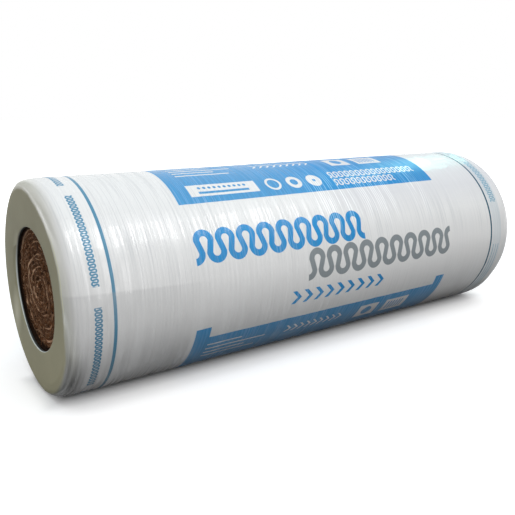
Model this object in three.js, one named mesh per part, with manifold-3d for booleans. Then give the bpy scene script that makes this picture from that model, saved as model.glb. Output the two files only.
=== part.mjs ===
import * as THREE from "three";
import { mergeVertices } from "three/addons/utils/BufferGeometryUtils.js";
import Module from "manifold-3d";

// Insulation roll: a glass wool blanket wound up on itself and pressed tight,
// in a sleeve of plastic film that turns in over both ends and leaves a round
// hole in each, where the turns of the blanket show.
//
// Millimetres, +Z up. The roll lies on its side with its axis along X. The
// origin is on the floor under the middle of the roll. The near end is at -X.

// ---- Driving dimensions ----

const rollLength = 1152;
const rollDiameter = 388;
const turnThickness = 22.5; // one turn of the blanket, as pressed in the roll
const filmThickness = 1.5;
const clearance = 0.3; // between the film and the wool

// The near end is packed tight: a wide flat ring and a short, square shoulder.
const nearHoleDiameter = 221;
const nearShoulderLength = 34;
const nearShoulderHeight = 38;
const nearShoulderSquareness = 3; // 2 is an ellipse, more is squarer

// The far end bulges: a narrow flat ring and a long, round shoulder.
const farHoleDiameter = 196;
const farShoulderLength = 74;
const farShoulderHeight = 70;
const farShoulderSquareness = 2;

// The film's edge is turned in round the hole, and the wool lies deeper.
const lipRadius = 1.5;
const collarDepth = 5;
const recessDepth = 12;
const recessFillet = 3;

// The winding starts at a small eye, a little squashed, and rounds out.
const eyeRadius = 12;
const eyeSquash = 0.3;
const grooveWidth = 7;
const grooveDepth = 5;

// The film's long edge laps over itself along the back of the roll.
const lapWidth = 60;
const lapStep = 0.8;
const lapAngle = 135; // degrees, from the front (-Y) over the top

// ---- Fineness of the round surfaces ----

const facetsRound = 64;
const shoulderSteps = 8;
const lipSteps = 3;
const grooveStepLength = 9;
const grooveFlankSteps = 2;
const lapFacets = 6;

// ---- Values worked out from them ----

const rollRadius = rollDiameter / 2;
const axisHeight = rollRadius * Math.cos(Math.PI / facetsRound);
const woolInset = filmThickness + clearance;

const nearEnd = {
  outward: -1,
  holeRadius: nearHoleDiameter / 2,
  shoulderLength: nearShoulderLength,
  shoulderHeight: nearShoulderHeight,
  squareness: nearShoulderSquareness,
};
const farEnd = {
  outward: 1,
  holeRadius: farHoleDiameter / 2,
  shoulderLength: farShoulderLength,
  shoulderHeight: farShoulderHeight,
  squareness: farShoulderSquareness,
};

const wasm = await Module();
wasm.setup();

// ---- Solids and geometries ----

function toSolid(geometry) {
  const bare = geometry.clone();
  bare.deleteAttribute("normal");
  bare.deleteAttribute("uv");
  const merged = mergeVertices(bare, 1e-4);
  return new wasm.Manifold(new wasm.Mesh({
    numProp: 3,
    vertProperties: new Float32Array(merged.attributes.position.array),
    triVerts: new Uint32Array(merged.index.array),
  }));
}

function toGeometry(solid) {
  const mesh = solid.getMesh();
  const geometry = new THREE.BufferGeometry();
  geometry.setAttribute("position", new THREE.BufferAttribute(mesh.vertProperties, 3));
  geometry.setIndex(new THREE.BufferAttribute(mesh.triVerts, 1));
  geometry.computeVertexNormals();
  return geometry;
}

// A profile point is (radius, depth), where depth is measured in from the end.
function placeOnEnd(end, points) {
  return points.map(([radius, depth]) =>
    new THREE.Vector2(radius, end.outward * (rollLength / 2 - depth)));
}

// Turns a profile of (radius, place along the axis) round the roll's axis. Half a
// facet of offset lays one facet flat on the floor.
function turned(profile) {
  const lathe = new THREE.LatheGeometry(profile, facetsRound, Math.PI / facetsRound);
  return lathe.rotateZ(-Math.PI / 2);
}

// ---- Profiles, from the hole out to the side of the roll ----

// The rounded shoulder, set in by inset from the outside of the film.
function shoulderCurve(end, inset) {
  const length = end.shoulderLength - inset;
  const height = end.shoulderHeight - inset;
  const flatRadius = rollRadius - end.shoulderHeight;
  const power = 2 / end.squareness;
  const points = [];
  for (let step = 0; step <= shoulderSteps; step++) {
    const turn = (step / shoulderSteps) * Math.PI / 2;
    const drop = length * (1 - Math.max(Math.cos(turn), 0) ** power);
    const rise = height * Math.sin(turn) ** power;
    points.push([flatRadius + rise, inset + drop]);
  }
  return points;
}

function filmOutside(end) {
  const points = [[end.holeRadius, collarDepth]];
  for (let step = 0; step <= lipSteps; step++) {
    const turn = (step / lipSteps) * Math.PI / 2;
    points.push([
      end.holeRadius + lipRadius * (1 - Math.cos(turn)),
      lipRadius * (1 - Math.sin(turn)),
    ]);
  }
  return points.concat(shoulderCurve(end, 0));
}

function filmInside(end) {
  const collarOutside = end.holeRadius + filmThickness;
  return [
    [collarOutside, collarDepth],
    [collarOutside, filmThickness],
    ...shoulderCurve(end, filmThickness),
  ];
}

function woolOutside(end) {
  const recessRadius = end.holeRadius + woolInset;
  const points = [[0, recessDepth]];
  for (let step = 0; step <= lipSteps; step++) {
    const turn = (step / lipSteps) * Math.PI / 2;
    points.push([
      recessRadius - recessFillet * (1 - Math.sin(turn)),
      recessDepth - recessFillet * (1 - Math.cos(turn)),
    ]);
  }
  points.push([recessRadius, woolInset]);
  return points.concat(shoulderCurve(end, woolInset));
}

// ---- The wool blanket ----

// The line between one turn of the blanket and the next, on an end of the roll.
class WindingCurve extends THREE.Curve {
  constructor(place, lastRadius) {
    super();
    this.place = place;
    this.lastRadius = lastRadius;
    this.turns = (lastRadius - eyeRadius) / turnThickness;
  }

  getPoint(share, target = new THREE.Vector3()) {
    const angle = share * this.turns * 2 * Math.PI;
    const radius = eyeRadius + turnThickness * share * this.turns;
    const squash = 1 - eyeSquash * (1 - share) ** 2;
    return target.set(this.place, radius * squash * Math.cos(angle), radius * Math.sin(angle));
  }
}

// A groove with round flanks, as the pressed edges of two turns leave between them.
function grooveSection(outward) {
  const flank = [];
  for (let step = 0; step <= grooveFlankSteps; step++) {
    const turn = (step / grooveFlankSteps) * Math.PI / 2;
    const depth = grooveDepth * Math.sin(turn);
    const halfWidth = grooveWidth / 2 * (1 - Math.sin(turn)) ** 0.6;
    flank.push([depth, halfWidth]);
  }
  const top = [-grooveDepth / 2, grooveWidth / 2];
  const half = [top, ...flank];
  const otherHalf = half.slice(0, -1).reverse().map(([depth, width]) => [depth, -width]);
  return new THREE.Shape([...half, ...otherHalf].map(([depth, width]) =>
    new THREE.Vector2(outward * depth, width)));
}

function windingGroove(end) {
  const place = end.outward * (rollLength / 2 - recessDepth);
  const lastRadius = end.holeRadius - recessFillet - grooveWidth / 2;
  const curve = new WindingCurve(place, lastRadius);
  return new THREE.ExtrudeGeometry(grooveSection(end.outward), {
    steps: Math.ceil(curve.getLength() / grooveStepLength),
    extrudePath: curve,
    bevelEnabled: false,
  });
}

function woolGeometry() {
  const profile = [
    ...placeOnEnd(nearEnd, woolOutside(nearEnd)),
    ...placeOnEnd(farEnd, woolOutside(farEnd)).reverse(),
  ];
  let wool = toSolid(turned(profile));
  for (const end of [nearEnd, farEnd]) {
    wool = wool.subtract(toSolid(windingGroove(end)));
  }
  return toGeometry(wool);
}

// ---- The film ----

// The strip where the film lies double, from shoulder to shoulder.
function lapGeometry() {
  const innerRadius = rollRadius - filmThickness / 2;
  const outerRadius = rollRadius + lapStep;
  const halfAngle = lapWidth / rollRadius / 2;
  const middle = THREE.MathUtils.degToRad(lapAngle);
  const arc = (radius, step) => {
    const angle = middle + halfAngle * (2 * step / lapFacets - 1);
    return new THREE.Vector2(-radius * Math.cos(angle), radius * Math.sin(angle));
  };
  const points = [];
  for (let step = 0; step <= lapFacets; step++) points.push(arc(outerRadius, step));
  for (let step = lapFacets; step >= 0; step--) points.push(arc(innerRadius, step));
  const length = rollLength - nearShoulderLength - farShoulderLength;
  const strip = new THREE.ExtrudeGeometry(new THREE.Shape(points), {
    depth: length,
    bevelEnabled: false,
  });
  // The shape's x and y become the roll's Y and Z, and its depth runs along X.
  strip.rotateX(Math.PI / 2);
  strip.rotateZ(Math.PI / 2);
  return strip.translate(nearShoulderLength - rollLength / 2, 0, 0);
}

function filmGeometry() {
  const profile = [
    ...placeOnEnd(nearEnd, filmOutside(nearEnd)),
    ...placeOnEnd(farEnd, filmOutside(farEnd)).reverse(),
    ...placeOnEnd(farEnd, filmInside(farEnd)),
    ...placeOnEnd(nearEnd, filmInside(nearEnd)).reverse(),
  ];
  profile.push(profile[0].clone());
  return toGeometry(toSolid(turned(profile)).add(toSolid(lapGeometry())));
}

// ---- The roll ----

const filmMaterial = new THREE.MeshStandardMaterial({
  name: "printed_film",
  color: 0xd9dcde,
  roughness: 0.3,
  metalness: 0,
});
const woolMaterial = new THREE.MeshStandardMaterial({
  name: "glass_wool",
  color: 0x5a3f2b,
  roughness: 1,
  metalness: 0,
});

const insulationRoll = new THREE.Group();

const woolRoll = new THREE.Mesh(woolGeometry(), woolMaterial);
woolRoll.name = "wool_roll";
const filmWrap = new THREE.Mesh(filmGeometry(), filmMaterial);
filmWrap.name = "film_wrap";
insulationRoll.add(woolRoll, filmWrap);
insulationRoll.position.z = axisHeight;

export default insulationRoll;
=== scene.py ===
"""A roll of glass wool insulation in printed plastic film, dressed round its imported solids.

Metres, +Z up. The roll lies on its side with its axis along X and its near end at -X.
An angle round the roll is measured from its front (-Y) up over the top. The patterns in
the film's and the wool's materials are laid out in millimetres.
"""

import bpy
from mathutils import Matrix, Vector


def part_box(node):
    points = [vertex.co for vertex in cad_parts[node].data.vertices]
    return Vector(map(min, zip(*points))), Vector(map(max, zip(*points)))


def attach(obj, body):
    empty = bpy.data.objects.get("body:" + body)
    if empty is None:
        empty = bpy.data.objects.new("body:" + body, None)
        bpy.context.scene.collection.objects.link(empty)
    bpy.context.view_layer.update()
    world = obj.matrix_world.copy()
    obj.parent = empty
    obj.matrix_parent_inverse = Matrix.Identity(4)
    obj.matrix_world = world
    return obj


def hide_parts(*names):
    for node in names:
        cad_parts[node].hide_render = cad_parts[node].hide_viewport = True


bl_info = {
    "name": "Insulation Roll",
    "version": (1, 0, 0),
    "blender": (4, 5, 0),
    "location": "View3D > Sidebar > Insulation Roll",
    "description": "Builds a wound glass wool roll, its printed film sleeve and a studio stage",
    "category": "Add Mesh",
}

from functools import partial, partialmethod, reduce
from math import cos, pi, radians, sin, tau
from types import SimpleNamespace

import bpy
import numpy as np
from bpy.props import FloatProperty, FloatVectorProperty, IntProperty, PointerProperty
from mathutils import Euler, Vector

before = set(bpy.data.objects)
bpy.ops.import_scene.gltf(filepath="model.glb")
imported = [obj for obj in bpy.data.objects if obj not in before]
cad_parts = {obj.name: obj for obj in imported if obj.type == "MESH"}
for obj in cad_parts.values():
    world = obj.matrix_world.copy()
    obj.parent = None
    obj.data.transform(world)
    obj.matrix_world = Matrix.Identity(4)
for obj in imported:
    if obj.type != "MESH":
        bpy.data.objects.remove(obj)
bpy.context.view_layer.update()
FILM_LOW, FILM_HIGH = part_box("film_wrap")

MM = 0.001
BODY = "root"
ROLL_LENGTH = FILM_HIGH.x - FILM_LOW.x
HALF = ROLL_LENGTH / 2
ROLL_RADIUS = (FILM_HIGH.z - FILM_LOW.z) / 2
AXIS_HEIGHT = (FILM_HIGH.z + FILM_LOW.z) / 2


# ---- settings ----


def a_number(description, default, kind=FloatProperty, **options):
    return kind(description=description, default=default, **options)


def a_length(description, millimetres):
    return a_number(description, millimetres * MM, subtype="DISTANCE", unit="LENGTH")


def a_colour(description, *colour):
    return a_number(description, colour, FloatVectorProperty, subtype="COLOR", min=0, max=1)


class RollSettings(bpy.types.PropertyGroup):
    """Sizes that the film and the wool share."""

    turn: a_length("Thickness of one pressed turn of the blanket", 22.5)
    near_hole: a_length("Radius of the near end's hole", 110.5)
    near_shoulder_length: a_length("Length of the near shoulder along the roll", 34)
    near_shoulder_height: a_length("Height of the near shoulder from the flat ring", 38)
    near_squareness: a_number("2 is an elliptical shoulder, more is squarer", 3.0)
    far_hole: a_length("Radius of the far end's hole", 98)
    far_shoulder_length: a_length("Length of the far shoulder along the roll", 74)
    far_shoulder_height: a_length("Height of the far shoulder from the flat ring", 70)
    far_squareness: a_number("2 is an elliptical shoulder, more is squarer", 2.0)
    recess: a_length("Depth of the wool below the end of the film", 12)
    collar: a_length("Depth to which the film's edge is turned in", 5)


class FilmSettings(bpy.types.PropertyGroup):
    """The film, its ridges and its print."""

    thickness: a_length("Thickness of the sleeve's wall", 1.2)
    ridge_height: a_length("Usual height of the fine ridges round the roll", 0.10)
    swell_height: a_length("Usual height of the broad swells", 0.25)
    rib_height: a_length("Height of the soft ribs on the shoulders", 0.3)
    crease_height: a_length("Height of the largest creases", 0.5)
    creases: a_number("Number of creases", 60, IntProperty)
    lap_step: a_length("Height of the step where the film laps over itself", 0.8)
    lap_angle: a_number(
        "Place of the lap's edge, from the front over the top", radians(126),
        subtype="ANGLE")
    near_tight: a_number("Squareness of the near shoulder at the back", 7.0)
    far_tight: a_number("Squareness of the far shoulder at the bottom", 4.5)
    sunk_lip: a_length("How far the near lip sinks at the back", 2)
    white: a_colour("Colour of the plain film", 0.824, 0.817, 0.807)
    bare: a_colour("Colour of the unprinted film on the ends", 0.37, 0.35, 0.235)
    cream: a_colour("Colour of the line where the white film starts", 0.72, 0.71, 0.46)
    blue: a_colour("Colour of the blue ink", 0.026, 0.298, 0.66)
    grey: a_colour("Colour of the grey ink", 0.27, 0.30, 0.315)


class WoolSettings(bpy.types.PropertyGroup):
    """The glass wool and its fibres."""

    eye: a_length("Radius at which the winding starts", 12)
    squash: a_number("How much the first turns are squashed", 0.3)
    groove: a_length("Depth of the line between two turns", 4.5)
    lumps: a_length("Usual height of the tufts on the wool's face", 0.9)
    fibres: a_number("Loose fibres on each end", 2200, IntProperty)
    fibre_length: a_length("Usual length of a loose fibre", 14)
    fibre_radius: a_length("Radius of a strand of loose fibres", 0.22)
    dark: a_colour("Colour deep in the wool", 0.030, 0.011, 0.004)
    brown: a_colour("Colour of the wool", 0.185, 0.080, 0.032)
    tan: a_colour("Colour of the pressed lines between the turns", 0.96, 0.62, 0.40)


class StageSettings(bpy.types.PropertyGroup):
    """Camera, lamps and floor."""

    lens: a_number("Focal length for a sensor 36 mm wide", 44.5, unit="CAMERA")
    camera: a_number(
        "Place of the camera", (-0.8730, -1.1022, 0.5100), FloatVectorProperty, subtype="XYZ",
        unit="LENGTH")
    yaw: a_number("Turn of the camera to the right of +Y", radians(35.20), subtype="ANGLE")
    pitch: a_number("Tilt of the camera below the horizon", radians(13.54), subtype="ANGLE")
    sky: a_number("Strength of the even light", 0.58)
    key: a_number("Radiance of the soft box over the front", 3.5)
    side: a_number("Radiance of the soft box at the near end", 1.0)
    top: a_number("Radiance of the soft box overhead", 0.74)
    floor_lift: a_number("Share of the floor's white that it glows by", 0.44)


# ---- nodes ----


def feed(source, socket):
    """Links a field or a socket to a socket, or sets a value on it. One number on a colour
    is a grey."""
    source = getattr(source, "socket", source)
    if isinstance(source, bpy.types.NodeSocket):
        socket.id_data.links.new(source, socket)
    elif socket.type == "RGBA":
        socket.default_value = (*(source if hasattr(source, "__len__") else [source] * 3), 1)
    else:
        socket.default_value = source


def feed_all(sockets, sources):
    for label, source in sources.items():
        feed(source, sockets[label])


def add_node(tree, kind, inputs=(), **settings):
    """Adds a node with its inputs fed, by name or by number, and returns its outputs."""
    node = tree.nodes.new(kind)
    for label, value in settings.items():
        setattr(node, label, value)
    feed_all(node.inputs, dict(inputs))
    return node.outputs


class Field:
    """A number that varies over a surface: the output of a shader node, with arithmetic."""

    def __init__(self, socket):
        self.socket = socket
        self.tree = socket.id_data

    def combine(self, operation, *others):
        inputs = enumerate((self, *others))
        return Field(add_node(self.tree, "ShaderNodeMath", inputs, operation=operation)[0])

    __add__ = partialmethod(combine, "ADD")
    __sub__ = partialmethod(combine, "SUBTRACT")
    __mul__ = partialmethod(combine, "MULTIPLY")
    __truediv__ = partialmethod(combine, "DIVIDE")
    __pow__ = partialmethod(combine, "POWER")
    either = partialmethod(combine, "MAXIMUM")
    magnitude = partialmethod(combine, "ABSOLUTE")
    wrapped = partialmethod(combine, "FLOORED_MODULO")

    def inverse(self):
        return self * -1 + 1

    def ramp(self, edge, softness, before, after):
        return Field(add_node(self.tree, "ShaderNodeMapRange", {
            "Value": self, "From Min": edge - softness / 2, "From Max": edge + softness / 2,
            "To Min": before, "To Max": after})["Result"])

    def rising(self, edge, softness=1.0):
        """0 below the edge and 1 above it, blended over the softness."""
        return self.ramp(edge, softness, 0, 1)

    def falling(self, edge, softness=1.0):
        return self.ramp(edge, softness, 1, 0)

    def between(self, low, high, softness=1.0):
        return self.rising(low, softness) * self.falling(high, softness)


def union(fields):
    return reduce(Field.either, fields)


def layered(colour, *coats):
    """A colour with coats over it, each given as an amount and a colour."""
    for amount, coat in coats:
        colour = add_node(amount.tree, "ShaderNodeMix", {"Factor": amount, 6: colour, 7: coat},
                          data_type="RGBA")[2]
    return colour


def scaled(colour, share, lift=0):
    return [share * part + lift for part in colour]


def noise(vector, scale, detail=2.0, roughness=0.5, stretch=(1, 1, 1)):
    tree = vector.id_data
    place = add_node(tree, "ShaderNodeMapping", {"Vector": vector, "Scale": stretch})
    return Field(add_node(tree, "ShaderNodeTexNoise", {
        "Vector": place[0], "Scale": scale, "Detail": detail, "Roughness": roughness})["Fac"])


def bump(height, distance):
    return add_node(height.tree, "ShaderNodeBump", {
        "Strength": 1.0, "Distance": distance, "Height": height})["Normal"]


def new_material(name):
    """A material, its tree, the inputs of its Principled BSDF and its Object coordinates."""
    material = bpy.data.materials.new(name)
    material.use_nodes = True
    tree = material.node_tree
    shader = tree.nodes["Principled BSDF"].inputs
    return material, tree, shader, add_node(tree, "ShaderNodeTexCoord")["Object"]


def split(vector):
    parts = add_node(vector.id_data, "ShaderNodeSeparateXYZ", {0: vector})
    return [Field(part) for part in parts]


def from_axis(position):
    """Place along the roll from its middle, and across and above its axis, in millimetres."""
    side, across, above = [part * (1 / MM) for part in split(position)]
    return side, across, above - AXIS_HEIGHT / MM


def new_group(kind, name, inputs, outputs):
    """A node group, and the outputs of its input node. Sockets are names and types."""
    group = bpy.data.node_groups.new(name, kind)
    for in_out, sockets in (("INPUT", inputs), ("OUTPUT", outputs)):
        for label, socket in sockets.items():
            group.interface.new_socket(
                name=label, in_out=in_out, socket_type="NodeSocket" + socket)
    return group, add_node(group, "NodeGroupInput")


def place_group(tree, group, **inputs):
    """Places a group in a material and returns its outputs as fields, by small letters."""
    outputs = add_node(tree, "ShaderNodeGroup", inputs, node_tree=group)
    return SimpleNamespace(**{output.name.lower(): Field(output) for output in outputs})


# ---- the print ----

# One repeat of the print takes a third of the way round. Sizes are in millimetres:
# along is from the near end, up is from the lower edge of the panel.
REPEATS = 3
REPEAT = tau * ROLL_RADIUS / MM / REPEATS
PANEL_FOOT_ANGLE = radians(48.6)
PANEL = (223, 885)
PANEL_HEIGHT = 147


def box_mask(along, up, left, bottom, width, height):
    return along.between(left, left + width) * up.between(bottom, bottom + height)


def disc_mask(along, up, middle, radius, softness=1.0):
    across, above = along - middle[0], up - middle[1]
    return ((across * across + above * above) ** 0.5).falling(radius, softness)


def loops(along, up, start, count, pitch, middle, height, stroke):
    """A row of round loops, as drawings hatch soft insulation with."""
    bend = pitch * 0.32
    reach = height / 2 - bend
    up = up - middle
    tops, feet = [(along - start - shift).wrapped(pitch) - pitch / 2 for shift in (0, pitch / 2)]
    arcs = []
    for place, level in ((tops, up - reach), (feet, up * -1 - reach)):
        distance = ((place * place + level * level) ** 0.5 - bend).magnitude()
        arcs.append(distance.falling(stroke / 2) * level.rising(-0.7))
    lean = up * ((bend - pitch / 4) / reach) + pitch / 4
    stem = (tops.magnitude() - lean).magnitude().falling(stroke / 2)
    stem = stem * up.magnitude().falling(reach + 0.7)
    return union([*arcs, stem]) * along.between(start, start + count * pitch)


def chevrons(along, up, start, count, pitch, middle, height, stroke):
    """A row of plain arrowheads that point away from the near end."""
    level = (up - middle).magnitude()
    slant = (along - start).wrapped(pitch) + level - height / 2
    mark = slant.between(0, stroke) * level.falling(height / 2)
    return mark * along.between(start, start + count * pitch)


def panel_openings(along, up):
    """The white marks inside a blue panel."""
    box, disc = partial(box_mask, along, up), partial(disc_mask, along, up)
    dots = disc_mask(along.wrapped(11), up, (5.5, 38), 3.4) * along.between(275, 385)
    label = box(256, 16, 150, 32) * dots.either(box(275, 22, 110, 6)).inverse()
    rings = [disc((place, 33), 18) - disc((place, 33), inner)
             for place, inner in ((446, 13), (498, 9), (550, 4))]
    rows = [loops(along, up, 598, 16, 16, 46, 19, 3.6), loops(along, up, 598, 11, 16, 21, 17, 3.4)]
    lines = [box(256, 84 + 13 * row, width, 3.4) for row, width in enumerate((118, 90, 134, 76))]
    strip = chevrons(along, up, 440, 9, 17, 112, 22, 5)
    bars = along.wrapped(9).between(1, 5) * box(729, 92, 52, 28)
    tiles = box(640, 84, 56, 44).either(box(720, 84, 72, 44))
    tiles = tiles * bars.either(disc((668, 106), 14)).inverse()
    return union([label, *rings, *rows, *lines, strip, tiles])


def build_print_group():
    """Masks of the print's parts, from millimetres along the roll and round it."""
    group, source = new_group(
        "ShaderNodeTree", "film_print", dict.fromkeys(("Along", "Around"), "Float"),
        dict.fromkeys(("Blue", "Grey", "Tint", "Deep", "Teal"), "Float"))
    along, around = Field(source[0]), Field(source[1])
    up = (around - PANEL_FOOT_ANGLE * ROLL_RADIUS / MM).wrapped(REPEAT)
    row, box = partial(loops, along, up), partial(box_mask, along, up)

    start, end = PANEL
    panel = union([box(start, 0, end - start, PANEL_HEIGHT), box(start, 0, 31, PANEL_HEIGHT + 24),
                   box(end - 27, 0, 27, PANEL_HEIGHT + 24)])
    panel = panel * panel_openings(along, up).inverse()
    arrows = chevrons(along, up, 429, 9, 28, 196, 28, 10)
    near_ring, far_ring = along.between(67.8, 73.2), along.between(1034.4, 1039.6)
    near_hatch = loops(around, along, -800, 400, 8, 42.5, 10.5, 2.6)
    near_hatch = near_hatch * (around - 27).wrapped(REPEAT / 2).between(16, 186)
    far_hatch = loops(around, along, -800, 400, 10, 1061, 17, 3)
    far_hatch = far_hatch * around.wrapped(REPEAT).between(88, 218)
    far_lines = (along - 1048).wrapped(9.5).between(0, 2.6) * along.between(1047, 1073)
    far_lines = far_lines * (around - 218).wrapped(REPEAT).between(4, 172)
    far_band = along.between(1043, 1076) * 0.3
    add_node(group, "NodeGroupOutput", {
        "Blue": union([panel, row(start, 9, 44, 322, 50, 12.5), arrows, near_ring, far_ring,
                       near_hatch]),
        "Grey": row(start + 5.5 * 44, 9.5, 44, 258, 50, 12.5),
        "Tint": union([far_lines * 1.3, far_hatch * 1.5, far_band]),
        "Deep": near_ring.either(near_hatch), "Teal": far_ring})
    return group


# ---- materials ----

# Bands along the roll where thin bright lines are painted on the film as highlights.
GLINT_BANDS = ((520, 622), (642, 738), (798, 832))
# How far the bare film of each end reaches out, and the middle of that reach.
NEAR_REACH, NEAR_MIDDLE = 184, (22, -14)
FAR_REACH, FAR_MIDDLE = 136, (-10, -4)
# Colour of the painted light on the bare film of the ends.
PAINTED_LIGHT_FILM = (0.88, 0.85, 0.68)


def film_marks_and_glints(uv, along, angle):
    """Masks and heights of the fine marks on stretched film, and masks of its painted shade lines
    and painted highlight lines.
    """
    def grain(lengthwise, round_roll, detail=0):
        return noise(uv, 1.0, detail, stretch=(lengthwise, round_roll, 1))

    # Fine ridges run round the roll, so the noise is stretched that way.
    marks_and_glints = SimpleNamespace(
        hair=grain(400, 7, 1), ridges=grain(190, 4.5, 1), puckers=grain(60, 18, 1),
        patches=grain(8, 8, 2).rising(0.5, 0.35), drift=grain(9, 5, 1) * 30)
    # Gathers: thin lines painted darker on the white film, as shade in the folds, and lighter on
    # the blue ink, as glints; the coat is thin on them.
    marks_and_glints.gathers = grain(330, 5).rising(0.58, 0.06) * marks_and_glints.patches
    streaks = (marks_and_glints.hair * 0.5 + marks_and_glints.ridges * 0.5).rising(0.5, 0.28)
    marks_and_glints.streaks = streaks * marks_and_glints.gathers.inverse()
    # Thin dark streaks painted as shade across the highlight band, weaker towards the far end; the
    # coat is a little thinner on them.
    nicks = grain(450, 6).falling(0.42, 0.08) * angle.between(0.5, 1.3, 0.3)
    marks_and_glints.nicks = nicks * along.rising(76, 12) * (along.falling(240, 160) * 0.7 + 0.3)
    # Thin bright lines painted as highlights in those bands, lighter still on the blue ink; the
    # coat is full on them.
    threads = (along + marks_and_glints.drift).wrapped(5.8).between(0.6, 2.2)
    threads = threads * grain(110, 5).rising(0.46, 0.1) * angle.between(0.46, 1.14, 0.2064)
    marks_and_glints.threads = threads * union([along.between(low, high, 20) for low, high in GLINT_BANDS])
    return marks_and_glints


def film_colour(film, ink, marks_and_glints, along, around, angle):
    """Colour of the printed sleeve between its ends."""
    held = angle.rising(0.15, 0.4) * 0.4 + 0.1
    # Painted shade: towards the far end the upper film is greyer, where no highlight falls.
    painted_dull_shade = along.rising(560, 140) * angle.between(0.6, 1.8, 0.3)
    plain = layered(
        scaled(film.white, 0.97), (marks_and_glints.streaks, film.white),
        (marks_and_glints.gathers * held, (0.61, 0.62, 0.63)), (marks_and_glints.nicks * 0.32, (0.5, 0.505, 0.52)),
        (painted_dull_shade * 0.62, (0.645, 0.64, 0.67)), (marks_and_glints.threads, 1))
    # The blue is painted paler over the upper panel towards the near end, as sheen, and paler low
    # on the roll; towards the far end it is painted a richer, darker blue, as less sheen falls
    # there.
    paler_blue = angle.rising(0.65, 0.2) * along.falling(510, 180)
    paler_blue = paler_blue.either(angle.falling(-0.35, 0.2))
    blue = layered(
        film.blue, (along.rising(640, 300), (0.007, 0.235, 0.56)),
        (paler_blue, (0.09, 0.345, 0.64)), (marks_and_glints.streaks * 0.6, scaled(film.blue, 0.7, 0.02)),
        (marks_and_glints.gathers, scaled(film.blue, 0.8, 0.15)), (marks_and_glints.threads * 0.7, (0.40, 0.74, 0.95)))
    grey = layered(film.grey, (marks_and_glints.streaks, scaled(film.grey, 0.9)))

    # Below the front of the near end the film is painted a little darker, as a painted reflection
    # of the step at the horizon.
    painted_horizon_step = (around + along * 0.05).falling(33, 4) * around.rising(0, 66)
    painted_horizon_step = painted_horizon_step * along.falling(200, 120)
    return layered(
        plain, (ink.tint * 0.55, (0.08, 0.30, 0.44)), (ink.blue, blue),
        (ink.grey, grey), (ink.deep, (0.10, 0.27, 0.40)), (ink.teal, (0.012, 0.075, 0.12)),
        (painted_horizon_step * 0.3, 0.4))


def film_ends(film, colour, ink, marks_and_glints, along, position):
    """Paints shade low on the roll, and light and shade on the shoulders. Returns the colour, and
    the mask of the bare film on the ends.

    The sleeve isn't drawn in evenly: the bare film reaches farther on to the shoulder at
    the back and the bottom than at the front."""
    side, across, above = from_axis(position)
    wobble = (noise(position, 26) - 0.5) * 5
    # Painted shade: the film is darker low on the roll, more so towards the far end, and low at
    # the back of the far half.
    low = above.falling(-140, 60) * (side.rising(0, 900) * 0.5 + 0.1)
    painted_foot_shade = across.rising(-30, 80) * above.falling(-100, 40) * side.rising(0, 500)
    colour = layered(colour, (low, 0.1), (painted_foot_shade * 0.55, 0.1))

    def bare_film(end, middle):
        """Depth from an end, distance from the middle of its bare film, and its mask."""
        depth = side * end + HALF / MM
        back, up = across - middle[0], above - middle[1]
        spread = (back * back + up * up) ** 0.5 + depth.either(0) + wobble
        return depth, spread, depth.falling(150)

    def edge(spread, where, reach):
        """Coats of the painted highlight line and of the painted tucked shade where the bare film
        ends.
        """
        rim_highlight = spread.between(reach + 2, reach + 6, 3) * above.between(-10, 118, 50)
        tuck = spread.between(reach - 4, reach + 20, 12) * above.falling(-50, 60)
        return (rim_highlight * where * 0.95, film.cream), (tuck * where * 0.55, (0.22, 0.215, 0.2))

    depth, spread, where = bare_film(1, NEAR_MIDDLE)
    front = above.between(-60, 48, 40) * across.falling(-60, 60)
    crest = across.rising(-10, 60) * above.rising(110, 60)
    spread = spread + front * 8 - crest * 7
    # Painted light: a pale glow on the upper near shoulder beside the bare film.
    glow = spread.falling(NEAR_REACH + 22, 26) * above.rising(30, 40) * where
    veil = above.falling(50, 70) + above.rising(110, 70) * 0.6
    veil = veil * spread.falling(NEAR_REACH + 26, 42) * above.rising(-110, 60) * where
    # Painted shade: the near shoulder is darker low down.
    painted_under_shade = depth.falling(22, 16) * above.falling(-98, 70)
    # Painted highlights: pale stripes across the lower near shoulder, off the blue ink.
    crimp_highlights = (along + marks_and_glints.drift).wrapped(11).between(2, 7, 4) * along.between(34, 96, 16)
    crimp_highlights = crimp_highlights * above.between(-180, -118, 40) * ink.blue.inverse()
    colour = layered(
        colour, (glow * 0.5, (0.80, 0.79, 0.64)), (veil * 0.85, (0.56, 0.555, 0.455)),
        *edge(spread, where, NEAR_REACH), (painted_under_shade * 0.95, (0.12, 0.12, 0.115)),
        (crimp_highlights * 0.9, 1))
    bare = spread.falling(NEAR_REACH, 9) * where

    depth, spread, where = bare_film(-1, FAR_MIDDLE)
    # Painted shade: the far shoulder is darker in its lower half, darkest low down.
    painted_under_shade = depth.falling(66, 40) * above.falling(50, 120)
    painted_deeper_shade = depth.falling(100, 60) * above.falling(-135, 40)
    colour = layered(colour, *edge(spread, where, FAR_REACH), (painted_under_shade * 0.33, 0.3),
                     (painted_deeper_shade * 0.75, 0.08))
    return colour, bare.either(spread.falling(FAR_REACH, 9) * where)


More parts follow.
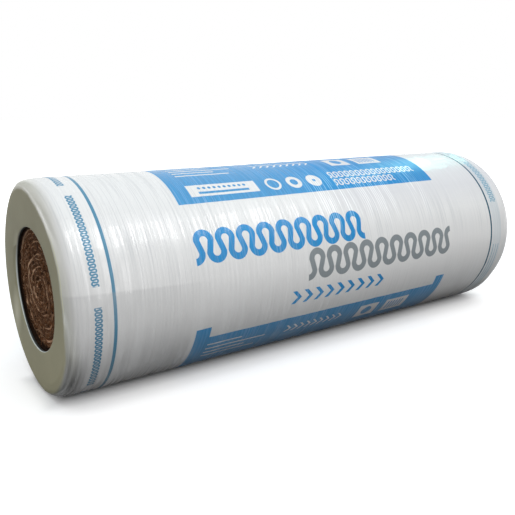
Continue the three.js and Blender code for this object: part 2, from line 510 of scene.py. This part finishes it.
def film_lips(roll, film, colour, bare, position):
    """Colours the bare film of the ends, and the lips and collars round the holes, with painted
    light and shade.
    """
    side, across, above = from_axis(position)
    near, near_hole = side.falling(0), roll.near_hole / MM
    radius = (across * across + above * above) ** 0.5
    # Painted highlight: the pale lip is drawn wider low at the back, where a glint falls.
    glint = (across - above * 0.6).between(60, 170, 60) * 1.1
    lip = (radius - glint).falling(near_hole + 0.9, 0.8) * near
    lip = lip.either(radius.falling(roll.far_hole / MM + 0.9, 0.8) * side.rising(0))
    sunk = across.rising(70, 60) * (film.sunk_lip / MM)
    # Painted shade: the turned-in collar is near black.
    collar = lip * (side.magnitude() + sunk).falling(HALF / MM - 1.2)
    # The bare film is lighter towards the bottom of the end, with some random tone.
    tone = noise(position, 11).rising(0.5, 0.4) * 0.2 + above.falling(-40, 200) * 0.8
    # Painted reflection: a soft pale blotch low at the back of the bare film.
    blur = disc_mask(across + above * 0.15, above * 0.45, (119, -35), 15, 26)
    smudge = disc_mask(across, above * 0.4, (98, -36), 7, 12)
    # Painted light beside the lip at the back, where the sunk ring shades it.
    facing = (radius - near_hole).falling(11, 20) * across.rising(60, 40)
    facing = facing * above.between(0, 80, 40) * near
    bare_colour = layered(
        scaled(film.bare, 0.765), (tone, scaled(film.bare, 1.315)),
        (blur * 0.62, PAINTED_LIGHT_FILM), (smudge * 0.25, (0.2, 0.19, 0.14)),
        (facing * 0.26, PAINTED_LIGHT_FILM))
    # Painted shade: the pale lip darkens towards its top.
    lip_colour = layered((0.78, 0.83, 0.79), (above.rising(52, 64) * 0.9, (0.30, 0.29, 0.24)))
    return layered(colour, (bare, bare_colour), (lip, lip_colour), (collar, (0.07, 0.08, 0.08)))


def film_material(roll, film):
    material, tree, shader, position = new_material("printed_film")
    uv = add_node(tree, "ShaderNodeTexCoord")["UV"]
    along, around = [part * (1 / MM) for part in split(uv)[:2]]
    angle = around * (MM / ROLL_RADIUS)
    ink = place_group(tree, build_print_group(), Along=along, Around=around)
    marks_and_glints = film_marks_and_glints(uv, along, angle)
    colour = film_colour(film, ink, marks_and_glints, along, around, angle)
    colour, bare = film_ends(film, colour, ink, marks_and_glints, along, position)
    colour = film_lips(roll, film, colour, bare, position)

    gleam = (marks_and_glints.ridges * 0.7 + marks_and_glints.hair * 0.3).rising(0.50, 0.10) * 0.9 + 0.1
    gleam = gleam.either(marks_and_glints.patches * -0.35 + 0.35) * marks_and_glints.gathers.inverse()
    gleam = gleam * (marks_and_glints.nicks * -0.15 + 1) * (along.rising(600, 200) * -0.5 + 1)
    matt = along.rising(560, 200) * 0.45 + 0.5
    coat = gleam.either(marks_and_glints.threads) * (ink.blue.either(ink.grey) * matt).inverse()
    height = marks_and_glints.hair * 0.14 + marks_and_glints.ridges * 0.6 + marks_and_glints.puckers * 0.3
    height = height * (marks_and_glints.patches * 0.7 + 0.3) * (bare * -0.8 + 1)
    relief = bump(height, 1 * MM)
    feed_all(shader, {
        "Base Color": colour, "Roughness": bare * 0.3 + 0.34, "Coat Roughness": 0.03,
        "Coat Weight": coat * bare.inverse() + bare * 0.05, "Specular IOR Level": 0.1,
        "Normal": relief, "Coat Normal": relief})
    return material


def build_winding_group():
    """Where a point on an end lies between two lines of the winding, from 0 to 1, and its
    distance from the roll's axis. Lengths are in millimetres."""
    group, source = new_group(
        "ShaderNodeTree", "winding", {"Position": "Vector", "Eye": "Float", "Turn": "Float"},
        {"Phase": "Float", "Radius": "Float"})
    _, across, up = from_axis(source["Position"])
    radius = (across * across + up * up) ** 0.5
    angle = up.combine("ARCTAN2", across) * (1 / tau)
    wobble = (noise(source["Position"], 22) - 0.5) * 9
    turns = (radius + wobble - source["Eye"]) / source["Turn"]
    add_node(group, "NodeGroupOutput", {"Phase": (turns - angle).wrapped(1.0), "Radius": radius})
    return group


def place_winding(tree, roll, wool, position):
    group = bpy.data.node_groups.get("winding") or build_winding_group()
    return place_group(tree, group, Position=position, Eye=wool.eye / MM, Turn=roll.turn / MM)


def wool_material(roll, wool):
    material, tree, shader, position = new_material("glass_wool")
    side, across, above = from_axis(position)
    winding = place_winding(tree, roll, wool, position)
    from_middle = (winding.phase - 0.5).magnitude()
    speckle = noise(position, 420, detail=3, roughness=0.7)
    tufts, broken, blots = [noise(position, scale, detail=3) for scale in (120, 55, 90)]
    # The wool is lighter towards the lower front of each end.
    lighter_low_front = (above * -0.8 - across * 0.6).rising(20, 90)
    brown = layered(wool.brown, (lighter_low_front, scaled(wool.brown, 1.35)))

    # Pressed lines between the turns, clearer below the eye, and faint layers within a turn.
    clear = above.falling(-20, 50)
    line = from_middle.rising(0.455, 0.05).either(from_middle.rising(0.42, 0.04) * clear)
    line = line * (broken.rising(0.47, 0.2) * 0.6 + 0.4).either(clear)
    layers = ((winding.phase * 3).wrapped(1.0) - 0.5).magnitude().rising(0.38, 0.12)
    layers = layers * blots.rising(0.52, 0.12) * 0.35
    hole = side.falling(0) * ((roll.near_hole - roll.far_hole) / MM) + roll.far_hole / MM
    # Painted shade: the wool is near black where it lies below the recess's floor, in the dip by
    # the wall, and close to the wall of the hole.
    deep = side.magnitude().falling((HALF - roll.recess) / MM - 6, 4)
    deep = deep.either((winding.radius - hole).rising(-5, 7) * 0.9)
    colour = layered(
        wool.dark, ((speckle * 0.6 + tufts * 0.5).rising(0.57, 0.2), brown),
        (line.either(layers), wool.tan), (deep, (0.012, 0.006, 0.004)))
    feed_all(shader, {
        "Base Color": colour, "Roughness": 0.95, "Specular IOR Level": 0.1,
        "Normal": bump(speckle + tufts, 2.5 * MM)})
    return material


def fibre_material(roll, wool):
    material, tree, shader, position = new_material("loose_fibres")
    phase = place_winding(tree, roll, wool, position).phase
    tone = noise(position, 150).rising(0.6, 0.2)
    colour = layered(wool.brown, (tone * 0.5, wool.tan),
                     ((phase - 0.5).magnitude().rising(0.44, 0.06), wool.tan))
    feed_all(shader, {"Base Color": colour, "Roughness": 0.7, "Specular IOR Level": 0.15})
    return material


# ---- mesh making ----


def smooth_noise(shape, blur, seed):
    """Even random numbers blurred by so many samples each way, with a spread of 1.

    The second axis closes on itself."""
    margin = int(4 * blur[0])
    size = (shape[0] + 2 * margin, shape[1])
    waves = np.fft.fft2(np.random.default_rng(seed).standard_normal(size))
    for axis, form in ((0, (-1, 1)), (1, (1, -1))):
        frequency = np.fft.fftfreq(size[axis])
        waves = waves * np.exp(-2 * (np.pi * frequency * blur[axis]) ** 2).reshape(form)
    values = np.fft.ifft2(waves).real[margin:margin + shape[0]]
    return values / values.std()


def end_sizes(roll, near):
    """Hole, and length, height and squareness of the shoulder, of one end."""
    return [getattr(roll, ("near_" if near else "far_") + part) for part in
            ("hole", "shoulder_length", "shoulder_height", "squareness")]


def shoulder(roll, near, inset, steps, tight=None):
    """Points (radius, depth) of an end's rounded shoulder, from the flat ring to the side."""
    _, length, height, squareness = end_sizes(roll, near)
    turn = np.linspace(0, pi / 2, steps + 1)
    power = 2 / (tight or squareness)
    rise = (height - inset) * np.sin(turn) ** power
    drop = (length - inset) * (1 - np.maximum(np.cos(turn), 0) ** power)
    return np.column_stack([ROLL_RADIUS - height + rise, inset + drop])


def resample(points, spacing, count=None):
    """Points at an even spacing, or so many of them, along a line through the given points."""
    steps = np.hypot(*np.diff(points, axis=0).T)
    place = np.concatenate([[0], np.cumsum(steps)])
    wanted = np.linspace(0, place[-1], count or max(2, int(round(place[-1] / spacing)) + 1))
    return np.column_stack([np.interp(wanted, place, points[:, k]) for k in (0, 1)])


def joined(near, far, middle=()):
    """Radius and place along the roll of a line from one end to the other, given the ends'
    points (radius, depth) and the places between them on the side."""
    return np.array([
        np.concatenate([near[:, 0], np.full(len(middle), ROLL_RADIUS), far[::-1, 0]]),
        np.concatenate([near[:, 1] - HALF, middle, HALF - far[::-1, 1]])])


def revolved(radius, place, angles):
    """Points of rings: radius and place along the roll for each ring and angle."""
    return np.stack([place, -radius * np.cos(angles),
                     AXIS_HEIGHT + radius * np.sin(angles)], axis=-1)


def grid_faces(rings, around, closed):
    """Quads of a grid of rings, wound so that they face out."""
    faces = []
    for ring in range(rings if closed else rings - 1):
        start, following = ring * around, (ring + 1) % rings * around
        for step in range(around):
            beyond = (step + 1) % around
            faces.append((start + step, start + beyond, following + beyond, following + step))
    return faces


def link_object(name, data):
    piece = bpy.data.objects.new(name, data)
    bpy.context.scene.collection.objects.link(piece)
    return piece


def make_object(name, points, faces):
    mesh = bpy.data.meshes.new(name)
    mesh.from_pydata(points.reshape(-1, 3).tolist(), [], faces)
    mesh.update()
    mesh.polygons.foreach_set("use_smooth", [True] * len(mesh.polygons))
    return link_object(name, mesh)


# ---- the film ----

AROUND_STEPS = 140
SIDE_SPACING = 2.1 * MM
SHOULDER_SPACING = 2.4 * MM
RING_SPACING = 6 * MM
LIP_RADIUS = 1.5 * MM
RIB_PITCH = 15 * MM


def film_line(roll, film, near):
    """Outside and inside lines (radius, depth) of one end of the film, and how far each
    outside point moves where the film is drawn tight over a squarer shoulder."""
    hole, _, height, _ = end_sizes(roll, near)
    turn = np.linspace(0, pi / 2, 5)
    edge = [hole, 0] + LIP_RADIUS * (1 - np.column_stack([np.cos(turn), np.sin(turn)]))
    ring = resample(np.array([edge[-1], [ROLL_RADIUS - height, 0]]), RING_SPACING)[1:-1]
    curve = resample(shoulder(roll, near, 0, 200), SHOULDER_SPACING)
    outside = np.vstack([[[hole, roll.collar]], edge, ring, curve])
    tight = shoulder(roll, near, 0, 200, film.near_tight if near else film.far_tight)
    move = np.zeros_like(outside)
    move[-len(curve):] = resample(tight, 0, len(curve)) - curve
    inner = hole + film.thickness
    inside = np.vstack([[[inner, roll.collar], [inner, film.thickness]],
                        shoulder(roll, near, film.thickness, 8)])
    return outside, inside, move


def film_mesh(roll, film):
    near_out, near_in, near_move = film_line(roll, film, True)
    far_out, far_in, far_move = film_line(roll, film, False)
    side = np.arange(near_out[-1, 1] - HALF + SIDE_SPACING,
                     HALF - far_out[-1, 1] - SIDE_SPACING / 2, SIDE_SPACING)
    outer = joined(near_out, far_out, side)
    line = np.concatenate([outer, joined(near_in, far_in)[:, ::-1]], axis=1)

    # Even steps round, with extra ones close to the lap's edge so that it stays crisp.
    even = np.linspace(0, tau, AROUND_STEPS, endpoint=False) - pi / 2
    lap_edge = film.lap_angle + np.array([-0.4, 0.4]) * MM / ROLL_RADIUS
    angles = np.sort(np.concatenate([even, lap_edge]))
    full = np.repeat(line[:, :, None], len(angles), axis=2)
    relief = film_relief(film, *outer, angles)
    full[:, :outer.shape[1]] += relief * outline_normals(*outer)[:, :, None]

    def facing(degrees, least, softness):
        """1 where the roll faces the given angle, fading out to either side."""
        return np.clip((np.cos(angles - radians(degrees)) - least) / softness, 0, 1)

    # The near shoulder is squarer from the top over the back to the bottom, the far one
    # at the bottom, and the near end's ring sinks a little towards the lip at the back.
    near = slice(0, len(near_out))
    full[:, near] += near_move.T[:, :, None] * facing(190, -0.34, 0.48)
    fall = np.clip(1 - (near_out[1:, 0] - roll.near_hole) / (45 * MM), 0, 1) * film.sunk_lip
    full[1, 1:near.stop] += fall[:, None] * facing(188, 0.55, 0.3)
    far = slice(outer.shape[1] - len(far_out), outer.shape[1])
    far_move = far_move[::-1].T * np.array([[1], [-1]])
    full[:, far] += far_move[:, :, None] * facing(-88, 0.6, 0.38)
    points = revolved(*full, angles)
    points[..., 2] = np.maximum(points[..., 2], 0)
    piece = make_object("film_sleeve", points, grid_faces(line.shape[1], len(angles), True))
    write_film_uv(piece.data, line[1], angles)
    return piece


def outline_normals(radius, place):
    """Outward normals (radius, place) of a line from the near end to the far one."""
    normals = np.array([np.gradient(place), -np.gradient(radius)])
    return normals / np.hypot(*normals)


def side_share(radius, depth, softness):
    """0 farther than the depth below the roll's side, rising to 1 over the softness."""
    return np.clip((radius - (ROLL_RADIUS - depth * MM)) / (softness * MM), 0, 1)[:, None]


def film_relief(film, radius, place, angles):
    """Height of the film's ridges, swells, creases and lap over its plain shape."""
    shape = (len(radius), len(angles))
    arc = tau * ROLL_RADIUS / len(angles)

    def waves(along, around, seed):
        return smooth_noise(shape, (along, around / arc), seed)

    ridges = waves(1.3, 0.07, 11)
    broader = waves(4.0, 0.10, 12)
    swells = waves(28.0, 0.06, 13)
    patches = np.clip(0.6 + 0.4 * waves(40.0, 0.08, 14), 0.1, 1.4)
    height = film.ridge_height * ridges * patches + 1.6 * film.ridge_height * broader
    height = height + film.swell_height * 0.5 * swells

    # The shoulders carry soft ribs round the roll where the film is drawn in.
    travel = np.cumsum(np.hypot(np.gradient(radius), np.gradient(place)))
    near_start = travel[np.argmax(radius > ROLL_RADIUS - 37 * MM)]
    far_start = travel[-1] - travel[np.argmax(radius[::-1] > ROLL_RADIUS - 60 * MM)]
    for start, end in ((near_start, 1), (far_start, -1)):
        distance = (travel - start)[:, None] * end
        drift = waves(30.0, 0.09, 15 + end) * 0.6
        ribs = np.sin(distance * (tau / RIB_PITCH) + drift * 2)
        zone = np.clip(distance / (8 * MM), 0, 1) * np.clip(2.2 - distance / (40 * MM), 0, 1)
        strength = np.clip(0.5 + 0.5 * waves(20.0, 0.07, 25 + end), 0, 1.4)
        height = height + film.rib_height * ribs * zone * strength

    # The relief dies away on the flat rings.
    height = height * side_share(radius, 36, 20) + film_creases(film, radius, place, angles)
    lap = (angles > film.lap_angle) * np.clip(1 - (angles - film.lap_angle - 0.3) / 0.5, 0, 1)
    return height + film.lap_step * lap * side_share(radius, 10, 10)


def film_creases(film, radius, place, angles):
    """Short slanting folds, most of them near the shoulders."""
    draw = np.random.default_rng(31).uniform
    height = np.zeros((len(radius), len(angles)))
    for number in range(film.creases):
        end = -1 if number % 2 else 1
        depth = draw(0.02, 0.14) if number % 5 else draw(0.15, 0.9)
        angle = draw(0, tau)
        slant = draw(-0.5, 0.5)
        length = draw(0.03, 0.08)
        width = draw(3.5, 5.5) * MM
        size = draw(0.3, 1.0) * film.crease_height
        around = ((angles - angle + pi) % tau - pi) * ROLL_RADIUS
        along = (place - end * (HALF - depth))[:, None]
        lengthwise = around * cos(slant) + along * sin(slant)
        crosswise = along * cos(slant) - around * sin(slant)
        height += size * np.exp(-(crosswise / width) ** 2) * np.exp(-(lengthwise / length) ** 4)
    return height * side_share(radius, 25, 15)


def write_film_uv(mesh, place, angles):
    """UV in metres: along the roll from its near end, and round it from the front."""
    vertex = np.empty(len(mesh.loops), np.int32)
    mesh.loops.foreach_get("vertex_index", vertex)
    ring, step = np.divmod(vertex, len(angles))

    # The last face of each ring carries on past the last angle.
    last_face = np.arange(len(vertex)) // 4 % len(angles) == len(angles) - 1
    round_again = np.where(last_face & (step == 0), tau * ROLL_RADIUS, 0)
    uv = np.column_stack([place[ring] + HALF, angles[step] * ROLL_RADIUS + round_again])
    mesh.uv_layers.new(name="film").data.foreach_set("uv", uv.astype(np.float32).ravel())


class ROLL_OT_film(bpy.types.Operator):
    """Builds the film sleeve with its ridges, lap and print"""

    bl_idname = "roll.film"
    bl_label = "Film sleeve"

    def execute(self, context):
        roll, film = context.scene.roll, context.scene.roll_film
        piece = film_mesh(roll, film)
        piece.data.materials.append(film_material(roll, film))
        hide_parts("film_wrap")
        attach(piece, BODY)
        return {"FINISHED"}


# ---- the wool ----

WOOL_STEPS = 160
WOOL_GAP = 0.3 * MM
FACE_SPACING = 2 * MM
# How high the wool bulges at the top of each end, and the part of it that fibres lie on.
BULGE = 4.5 * MM
PATCH_DEPTH = 24 * MM
NEAR_PATCH = 106 * MM
FAR_PATCH = 93 * MM


def winding_phase(roll, wool, across, up):
    """How far points on an end lie from one line of the winding to the next, from 0 to 1."""
    last = roll.near_hole - 6 * MM
    share = np.clip((np.hypot(across, up) - wool.eye) / (last - wool.eye), 0, 1)
    squashed = across / (1 - wool.squash * (1 - share) ** 2)
    turns = (np.hypot(squashed, up) - wool.eye) / roll.turn
    return (turns - np.arctan2(up, squashed) / tau) % 1


def wool_line(roll, near, inset):
    """Line (radius, depth) of one end of the blanket, and its number of points on the floor
    of the recess. The wool dips behind the film's collar between the floor and the wall."""
    wall = end_sizes(roll, near)[0] + inset + 0.4 * MM
    steps = np.arange(FACE_SPACING, wall - 3.5 * MM, FACE_SPACING)
    floor = np.column_stack([steps, np.full(len(steps), roll.recess)])
    bend = [[wall - 3 * MM, roll.recess + 2 * MM], [wall - 2 * MM, 22 * MM],
            [wall - 1 * MM, 24 * MM], [wall, 22 * MM],
            [wall, inset + 1.5 * MM], [wall + 1 * MM, inset + 0.4 * MM]]
    curve = shoulder(roll, near, inset + 0.3 * MM, 8)
    return np.vstack([floor, bend, curve]), len(floor)


def wool_mesh(roll, wool, film):
    inset = film.thickness + WOOL_GAP
    near_line, near_floor = wool_line(roll, True, inset)
    far_line, far_floor = wool_line(roll, False, inset)
    line = joined(near_line, far_line)
    radius, rings = line[0], line.shape[1]
    angles = np.linspace(0, tau, WOOL_STEPS, endpoint=False)
    points = revolved(*np.repeat(line[:, :, None], WOOL_STEPS, axis=2), angles)
    for sign, rows, seed in ((1, slice(0, near_floor), 21),
                             (-1, slice(rings - far_floor, rings), 22)):
        across, up = points[rows, :, 1], points[rows, :, 2] - AXIS_HEIGHT
        relief = wool_relief(roll, wool, across, up, seed)
        edge = np.clip((radius[rows].max() - radius[rows]) / (6 * MM), 0, 1)[:, None]
        bulge = BULGE * np.clip(0.5 + (0.6 * across + 0.8 * up) / (180 * MM), 0, 1)
        points[rows, :, 0] += sign * (relief * edge - bulge)

    centres = points[0].mean(axis=0), points[-1].mean(axis=0)
    points = points.reshape(-1, 3)
    faces = grid_faces(rings, WOOL_STEPS, False)
    first, last_ring = len(points), len(points) - WOOL_STEPS
    for step in range(WOOL_STEPS):
        beyond = (step + 1) % WOOL_STEPS
        faces += [(first, beyond, step), (first + 1, last_ring + step, last_ring + beyond)]
    return make_object("wool_blanket", np.vstack([points, *centres]), faces)


def wool_relief(roll, wool, across, up, seed):
    """How far the wool's face lies below its highest level, in metres."""
    phase = winding_phase(roll, wool, across, up)
    from_line = np.minimum(phase, 1 - phase) * 2
    grooves = wool.groove * np.exp(-(from_line / 0.22) ** 2)
    crown = 1.2 * MM * (1 - from_line) ** 2
    lumps = smooth_noise(across.shape, (1.2, 1.6), seed) * wool.lumps
    waves = smooth_noise(across.shape, (5, 7), seed + 10) * wool.lumps * 0.8
    return np.maximum(grooves + crown + lumps + waves + 0.5 * MM, -0.5 * MM)


def fibre_tree():
    """Geometry nodes: short bent fibres laid on a face, along the turns."""
    tree, source = new_group("GeometryNodeTree", "loose_fibres", {
        "Geometry": "Geometry", "Density": "Float", "Length": "Float", "Radius": "Float",
        "Seed": "Int", "Material": "Material"}, {"Geometry": "Geometry"})
    add = partial(add_node, tree)
    points = add("GeometryNodeDistributePointsOnFaces", {
        "Mesh": source["Geometry"], "Density": source["Density"], "Seed": source["Seed"]})

    # A fibre is a shallow arc as long as Length, in a tube of three sides.
    start, middle, end = [
        add("ShaderNodeVectorMath", {0: share, "Scale": source["Length"]}, operation="SCALE")[0]
        for share in ((-0.5, 0, 0), (0, 0.22, 0.05), (0.5, 0, 0))]
    arc = add("GeometryNodeCurveQuadraticBezier", {
        "Resolution": 4, "Start": start, "Middle": middle, "End": end})
    ring = add("GeometryNodeCurvePrimitiveCircle", {"Resolution": 3, "Radius": source["Radius"]})
    tube = add("GeometryNodeCurveToMesh", {
        "Curve": arc["Curve"], "Profile Curve": ring["Curve"], "Fill Caps": True})

    # Fibres lie roughly along the turns: the direction round the axis, plus some scatter.
    _, across, above = split(add("GeometryNodeInputPosition")[0])
    drop = (above - AXIS_HEIGHT) * -1
    along_turn = add("ShaderNodeCombineXYZ", {"Y": drop, "Z": across})
    unit = add("ShaderNodeVectorMath", {0: along_turn[0]}, operation="NORMALIZE")
    scatter = add("FunctionNodeRandomValue", {
        "Min": (-0.25, -0.9, -0.9), "Max": (0.25, 0.9, 0.9), "Seed": source["Seed"]},
        data_type="FLOAT_VECTOR")
    direction = add("ShaderNodeVectorMath", {0: unit[0], 1: scatter[0]}, operation="ADD")
    align = add("FunctionNodeAlignRotationToVector", {"Vector": direction[0]}, axis="X")

    size = add("FunctionNodeRandomValue", {2: 0.45, 3: 1.35}, data_type="FLOAT")
    placed = add("GeometryNodeInstanceOnPoints", {
        "Points": points["Points"], "Instance": tube["Mesh"], "Rotation": align["Rotation"],
        "Scale": size[1]})
    real = add("GeometryNodeRealizeInstances", {"Geometry": placed["Instances"]})
    paint = add("GeometryNodeSetMaterial", {
        "Geometry": real["Geometry"], "Material": source["Material"]})
    add("NodeGroupOutput", {"Geometry": paint["Geometry"]})
    return tree


def bake_nodes(host, tree, name, values):
    """Runs a geometry node tree on the host's mesh and returns the result as a plain mesh."""
    modifier = host.modifiers.new(name, "NODES")
    modifier.node_group = tree
    for item in tree.interface.items_tree:
        if item.name in values:
            modifier[item.identifier] = values[item.name]
    graph = bpy.context.evaluated_depsgraph_get()
    mesh = bpy.data.meshes.new_from_object(host.evaluated_get(graph), depsgraph=graph)
    host.modifiers.remove(modifier)
    mesh.name = name
    return link_object(name, mesh)


def end_patch(blanket, near):
    """A copy of the part of the blanket's face that shows in one end."""
    mesh = blanket.data
    points = np.empty(len(mesh.vertices) * 3)
    mesh.vertices.foreach_get("co", points)
    points = points.reshape(-1, 3)
    outward = -points[:, 0] if near else points[:, 0]
    radius = np.hypot(points[:, 1], points[:, 2] - AXIS_HEIGHT)
    inside = (outward > HALF - PATCH_DEPTH) & (radius < (NEAR_PATCH if near else FAR_PATCH))
    faces = [tuple(p.vertices) for p in mesh.polygons if all(inside[v] for v in p.vertices)]
    return make_object("end_patch", points, faces)


class ROLL_OT_wool(bpy.types.Operator):
    """Builds the wound glass wool blanket"""

    bl_idname = "roll.wool"
    bl_label = "Wool blanket"

    def execute(self, context):
        scene = context.scene
        piece = wool_mesh(scene.roll, scene.roll_wool, scene.roll_film)
        piece.data.materials.append(wool_material(scene.roll, scene.roll_wool))
        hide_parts("wool_roll")
        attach(piece, BODY)
        return {"FINISHED"}


class ROLL_OT_fibres(bpy.types.Operator):
    """Lays loose glass fibres on the wool that shows in both ends"""

    bl_idname = "roll.fibres"
    bl_label = "Loose fibres"

    def execute(self, context):
        wool = context.scene.roll_wool
        blanket = bpy.data.objects["wool_blanket"]
        material = fibre_material(context.scene.roll, wool)
        tree = fibre_tree()
        for near, name, seed in ((True, "near_fibres", 5), (False, "far_fibres", 6)):
            patch = end_patch(blanket, near)
            area = sum(p.area for p in patch.data.polygons)
            piece = bake_nodes(patch, tree, name, {
                "Density": wool.fibres / area, "Length": wool.fibre_length,
                "Radius": wool.fibre_radius, "Seed": seed,
                "Material": material})
            bpy.data.objects.remove(patch)
            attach(piece, BODY)
        return {"FINISHED"}


# ---- the stage ----

SENSOR_WIDTH = 36
FLOOR_SIZE = 40
FLOOR_SEEN, FLOOR_BOUNCE = 0.9, (0.01, 0.38)
SKY_COLOUR = (0.985, 0.99, 1.0)
TOP_COLOUR = (0.52, 0.86, 1.0)
WHITE, MINT = (1, 1, 1), (0.4, 1.0, 0.92)

# The key light is a row of boxes: their number, the first one's place along the roll, the
# step between them, and the share of the setting's radiance that each one gives.
KEY_BOXES, KEY_START, KEY_STEP, KEY_SHARE = 4, -0.99, 0.66, 1.3

# Boxes that show only as reflections: name, place, target, size, radiance and colour.
REFLECTIONS = (
    *((f"back_box_{number}", place, (0.3, -0.07, 0.37), (0.34, 0.26), 6, MINT)
      for number, place in enumerate(((1.86, 0.5, 1.56), (1.85, 0.72, 1.47), (1.84, 0.92, 1.32)))),
    ("near_card", (0.45, -3.2, 1.1), (-0.4, 0, 0.3), (0.6, 2.2), 1.8, WHITE),
    ("far_card", (1.3, -3.2, 1.1), (-0.2, 0, 0.3), (1.5, 2.2), 0.5, WHITE),
    *((f"halo_{number}", (0.2, -1.2, 2.02 + 0.02 * number), (0.2, 0, 0.2), (3.2, depth), 0.9,
       WHITE) for number, depth in enumerate((1.0, 1.4, 1.9))),
)


def area_lamp(name, place, target, size, radiance, colour=WHITE, **visibility):
    """A soft box. Its radiance doesn't change with its size."""
    data = bpy.data.lights.new(name, "AREA")
    data.shape = "RECTANGLE"
    data.size, data.size_y = size
    data.energy = radiance * size[0] * size[1] * pi
    data.color = colour
    lamp = link_object(name, data)
    lamp.location = place
    lamp.rotation_euler = (Vector(target) - Vector(place)).to_track_quat("-Z", "Y").to_euler()
    for label, visible in visibility.items():
        setattr(lamp, label, visible)


def show_apart(tree, output, hidden, seen):
    """Shows one shader to the camera, in reflections and through glass, and gives the
    scene's light from another."""
    path = add_node(tree, "ShaderNodeLightPath")
    rays = union([Field(path[f"Is {name} Ray"]) for name in ("Camera", "Glossy", "Transmission")])
    mix = add_node(tree, "ShaderNodeMixShader", {0: rays, 1: hidden, 2: seen})
    add_node(tree, output, {"Surface": mix[0]})


def floor_material(lift):
    """Pale floor that shows white and keeps shadows, and throws little light back."""
    material = bpy.data.materials.new("studio_floor")
    material.use_nodes = True
    tree = material.node_tree
    tree.nodes.clear()
    along, across, _ = split(add_node(tree, "ShaderNodeTexCoord")["Object"])
    beyond = (along.magnitude() - (HALF - 20 * MM)).either(0)
    distance = (beyond * beyond + across * across) ** 0.5
    # Painted light and shade on the floor: the glow that lifts it to white stays off near the
    # roll, and for reflections out to about a metre, so it shows darker there; past the roll's
    # ends it comes on sooner, so the shadow there is narrower.
    past = along.magnitude() - HALF
    ends = past.rising(-0.005, 0.05) * 0.75 + past.rising(0.015, 0.03) * 0.25
    camera = Field(add_node(tree, "ShaderNodeLightPath")["Is Camera Ray"])
    glow = distance.rising(0.07, 0.05).either(ends) * camera * lift
    glow = glow.either(distance.rising(1.0, 1.2) * lift) + distance.rising(1.3, 1.4) * (1 - lift)
    pale = add_node(tree, "ShaderNodeBsdfDiffuse", {"Color": FLOOR_SEEN})
    light = add_node(tree, "ShaderNodeEmission", {"Strength": glow})
    both = add_node(tree, "ShaderNodeAddShader", {0: pale[0], 1: light[0]})
    # The light the floor throws back is darker near the roll, as painted shade on the roll's lower
    # side.
    bounce = layered(FLOOR_BOUNCE[0], (distance.rising(0.36, 0.36), FLOOR_BOUNCE[1]))
    dim = add_node(tree, "ShaderNodeBsdfDiffuse", {"Color": bounce})
    show_apart(tree, "ShaderNodeOutputMaterial", dim[0], both[0])
    return material


def studio_world(sky):
    """Even light of the given strength on a ground that shows white."""
    world = bpy.data.worlds.new("studio")
    bpy.context.scene.world = world
    world.use_nodes = True
    tree = world.node_tree
    tree.nodes.clear()
    light, white = [
        add_node(tree, "ShaderNodeBackground", {"Color": colour, "Strength": strength})[0]
        for colour, strength in ((SKY_COLOUR, sky), (WHITE, 1.0))]
    show_apart(tree, "ShaderNodeOutputWorld", light, white)


class ROLL_OT_stage(bpy.types.Operator):
    """Sets the camera, the lamps and a pale floor"""

    bl_idname = "roll.stage"
    bl_label = "Studio stage"

    def execute(self, context):
        scene = context.scene
        stage = scene.roll_stage
        lens = bpy.data.cameras.new("camera")
        lens.sensor_width = SENSOR_WIDTH
        lens.lens = stage.lens
        camera = link_object("camera", lens)
        camera.location = stage.camera
        camera.rotation_euler = Euler((pi / 2 - stage.pitch, 0, -stage.yaw))
        scene.camera = camera

        bpy.ops.mesh.primitive_plane_add(size=FLOOR_SIZE, location=(0, 0, 0))
        floor = context.active_object
        floor.name = "floor"
        floor.data.materials.append(floor_material(stage.floor_lift))
        studio_world(stage.sky)
        area_lamp("top_box", (0, -0.1, 2.3), (0, -0.1, 0), (2.4, 1.4), stage.top, TOP_COLOUR,
                  visible_glossy=False)
        for number in range(KEY_BOXES):
            place = KEY_START + KEY_STEP * number
            area_lamp(f"key_box_{number}", (place, -1.2, 2.0), (place, 0, 0.2), (0.46, 0.8),
                      stage.key * KEY_SHARE)
        area_lamp("side_box", (-2.4, -1.5, 1.3), (-0.5, 0, 0.2), (0.9, 1.2), stage.side)
        for box in REFLECTIONS:
            area_lamp(*box, visible_diffuse=False)
        scene.view_settings.view_transform = "Standard"
        return {"FINISHED"}


# ---- add-on ----


class ROLL_PT_panel(bpy.types.Panel):
    """Lists the roll's pieces and the stage"""

    bl_label = "Insulation Roll"
    bl_idname = "ROLL_PT_panel"
    bl_space_type = "VIEW_3D"
    bl_region_type = "UI"
    bl_category = "Insulation Roll"

    def draw(self, context):
        for operator in OPERATORS:
            self.layout.operator(operator.bl_idname)
        for name in SETTINGS:
            group = getattr(context.scene, name)
            box = self.layout.box()
            for setting in group.__annotations__:
                box.prop(group, setting, text=setting.replace("_", " ").capitalize())


OPERATORS = (ROLL_OT_film, ROLL_OT_wool, ROLL_OT_fibres, ROLL_OT_stage)
SETTINGS = {"roll": RollSettings, "roll_film": FilmSettings, "roll_wool": WoolSettings,
            "roll_stage": StageSettings}
CLASSES = (*SETTINGS.values(), *OPERATORS, ROLL_PT_panel)


def register():
    for item in CLASSES:
        bpy.utils.register_class(item)
    for name, group in SETTINGS.items():
        setattr(bpy.types.Scene, name, PointerProperty(type=group))


def unregister():
    for name in SETTINGS:
        delattr(bpy.types.Scene, name)
    for item in reversed(CLASSES):
        bpy.utils.unregister_class(item)


def main():
    register()
    bpy.ops.roll.film()
    bpy.ops.roll.wool()
    bpy.ops.roll.fibres()
    bpy.ops.roll.stage()


if __name__ == "__main__":
    main()
